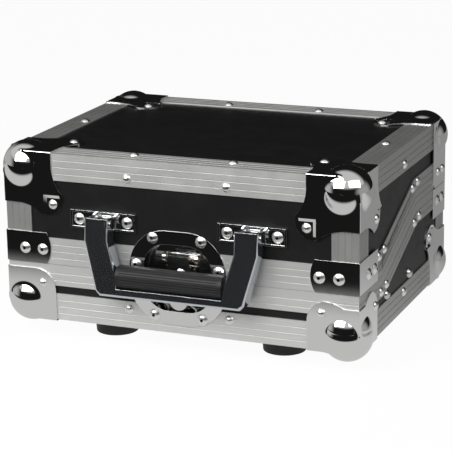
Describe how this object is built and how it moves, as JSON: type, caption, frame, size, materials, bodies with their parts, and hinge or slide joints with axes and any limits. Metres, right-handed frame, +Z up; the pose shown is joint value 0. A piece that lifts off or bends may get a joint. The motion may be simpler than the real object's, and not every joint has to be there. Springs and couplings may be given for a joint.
{
  "type": "lighting flight case",
  "caption": "Wedge-split flight case with aluminium edges, ball corners, recessed turn latch, drop handle on a rear-hinged lid, rubber feet and foam lining",
  "frame": {"origin": "on the floor under the middle of the whole object, handle and corners included", "axes": "+X to the right seen from the front, +Y towards the hinges at the back, +Z up"},
  "size_m": [0.423, 0.3498, 0.2205],
  "materials": {
    "black_laminate": "black phenolic laminate with a low sheen on plywood",
    "aluminium_profile": "anodised, drawn along its length, with fine grooves",
    "chromed_steel": "polished chrome on pressed steel",
    "dark_chrome": "polished chrome on pressed steel",
    "grip_plastic": "black ribbed plastic",
    "foot_rubber": "black rubber",
    "black_foam": "charcoal foam lining",
    "coppered_steel": "copper-coloured passivated pin",
    "zinc_plated_steel": "zinc plated",
    "nickel_rivets": "bright nickel plated rivets",
    "plated_latch_steel": "nickel plated steel"
  },
  "bodies": {
    "base": {"base_floor_panel": "black_laminate", "base_front_panel": "black_laminate", "base_back_panel": "black_laminate", "base_left_panel": "black_laminate", "base_right_panel": "black_laminate", "base_cross_angles": "aluminium_profile", "base_side_angles": "aluminium_profile", "base_rear_posts": "aluminium_profile", "base_cross_rims": "aluminium_profile", "base_left_rim": "aluminium_profile", "base_right_rim": "aluminium_profile", "base_corner_front_left": "chromed_steel", "base_corner_front_right": "chromed_steel", "base_corner_back_left": "chromed_steel", "base_corner_back_right": "chromed_steel", "base_rear_braces": "chromed_steel", "rubber_feet": "foot_rubber", "foot_screws": "zinc_plated_steel", "latch_dish_lower": "chromed_steel", "latch_bridge": "plated_latch_steel", "hinge_leaves_lower": "plated_latch_steel", "hinge_pins": "plated_latch_steel", "base_floor_foam": "black_foam", "base_wall_foam": "black_foam", "base_dome_rivets": "nickel_rivets", "base_hollow_rivets": "nickel_rivets", "base_side_bolts": "zinc_plated_steel"},
    "lid": {"lid_top_panel": "black_laminate", "lid_front_panel": "black_laminate", "lid_back_panel": "black_laminate", "lid_left_panel": "black_laminate", "lid_right_panel": "black_laminate", "lid_cross_angles": "aluminium_profile", "lid_side_angles": "aluminium_profile", "lid_posts": "aluminium_profile", "lid_cross_rims": "aluminium_profile", "lid_left_rim": "aluminium_profile", "lid_right_rim": "aluminium_profile", "lid_corner_front_left": "chromed_steel", "lid_corner_front_right": "chromed_steel", "lid_corner_back_left": "chromed_steel", "lid_corner_back_right": "chromed_steel", "lid_front_braces": "chromed_steel", "handle_brackets": "chromed_steel", "latch_dish_upper": "chromed_steel", "latch_keeper_pin": "coppered_steel", "hinge_leaves_upper": "plated_latch_steel", "lid_top_foam": "black_foam", "lid_wall_foam": "black_foam", "lid_dome_rivets": "nickel_rivets", "lid_hollow_rivets": "nickel_rivets"},
    "handle": {"handle_bail": "dark_chrome", "handle_grip": "grip_plastic", "handle_rod": "zinc_plated_steel", "handle_pivot_pins": "plated_latch_steel"},
    "rotor": {"latch_rotor": "plated_latch_steel", "latch_wing_pin": "plated_latch_steel"},
    "wing": {"latch_wing": "plated_latch_steel"},
    "hook": {"latch_hook": "plated_latch_steel"}
  },
  "joints": [
    {"name": "lid_hinge", "type": "hinge", "parent": "base", "child": "lid", "pos_m": [0, 0.17058, 0.135], "axis": [-1, 0, 0], "range_deg": [0, 105]},
    {"name": "handle_swing", "type": "hinge", "parent": "lid", "child": "handle", "pos_m": [0, -0.15662, 0.142], "axis": [-1, 0, 0], "range_deg": [0, 90]},
    {"name": "latch_turn", "type": "hinge", "parent": "base", "child": "rotor", "pos_m": [0, -0.14402, 0.086], "axis": [0, 1, 0], "range_deg": [0, 180]},
    {"name": "wing_fold", "type": "hinge", "parent": "rotor", "child": "wing", "pos_m": [0, -0.14402, 0.086], "axis": [-1, 0, 0], "range_deg": [0, 90]},
    {"name": "hook_tilt", "type": "hinge", "parent": "base", "child": "hook", "pos_m": [0, -0.13953, 0.086], "axis": [-1, 0, 0], "range_deg": [0, 12]}
  ],
  "couplings": [
    {"joint": "wing_fold", "follows": "handle_swing", "ratio": 1},
    {"joint": "hook_tilt", "follows": "latch_turn", "ratio": 0.066667}
  ]
}
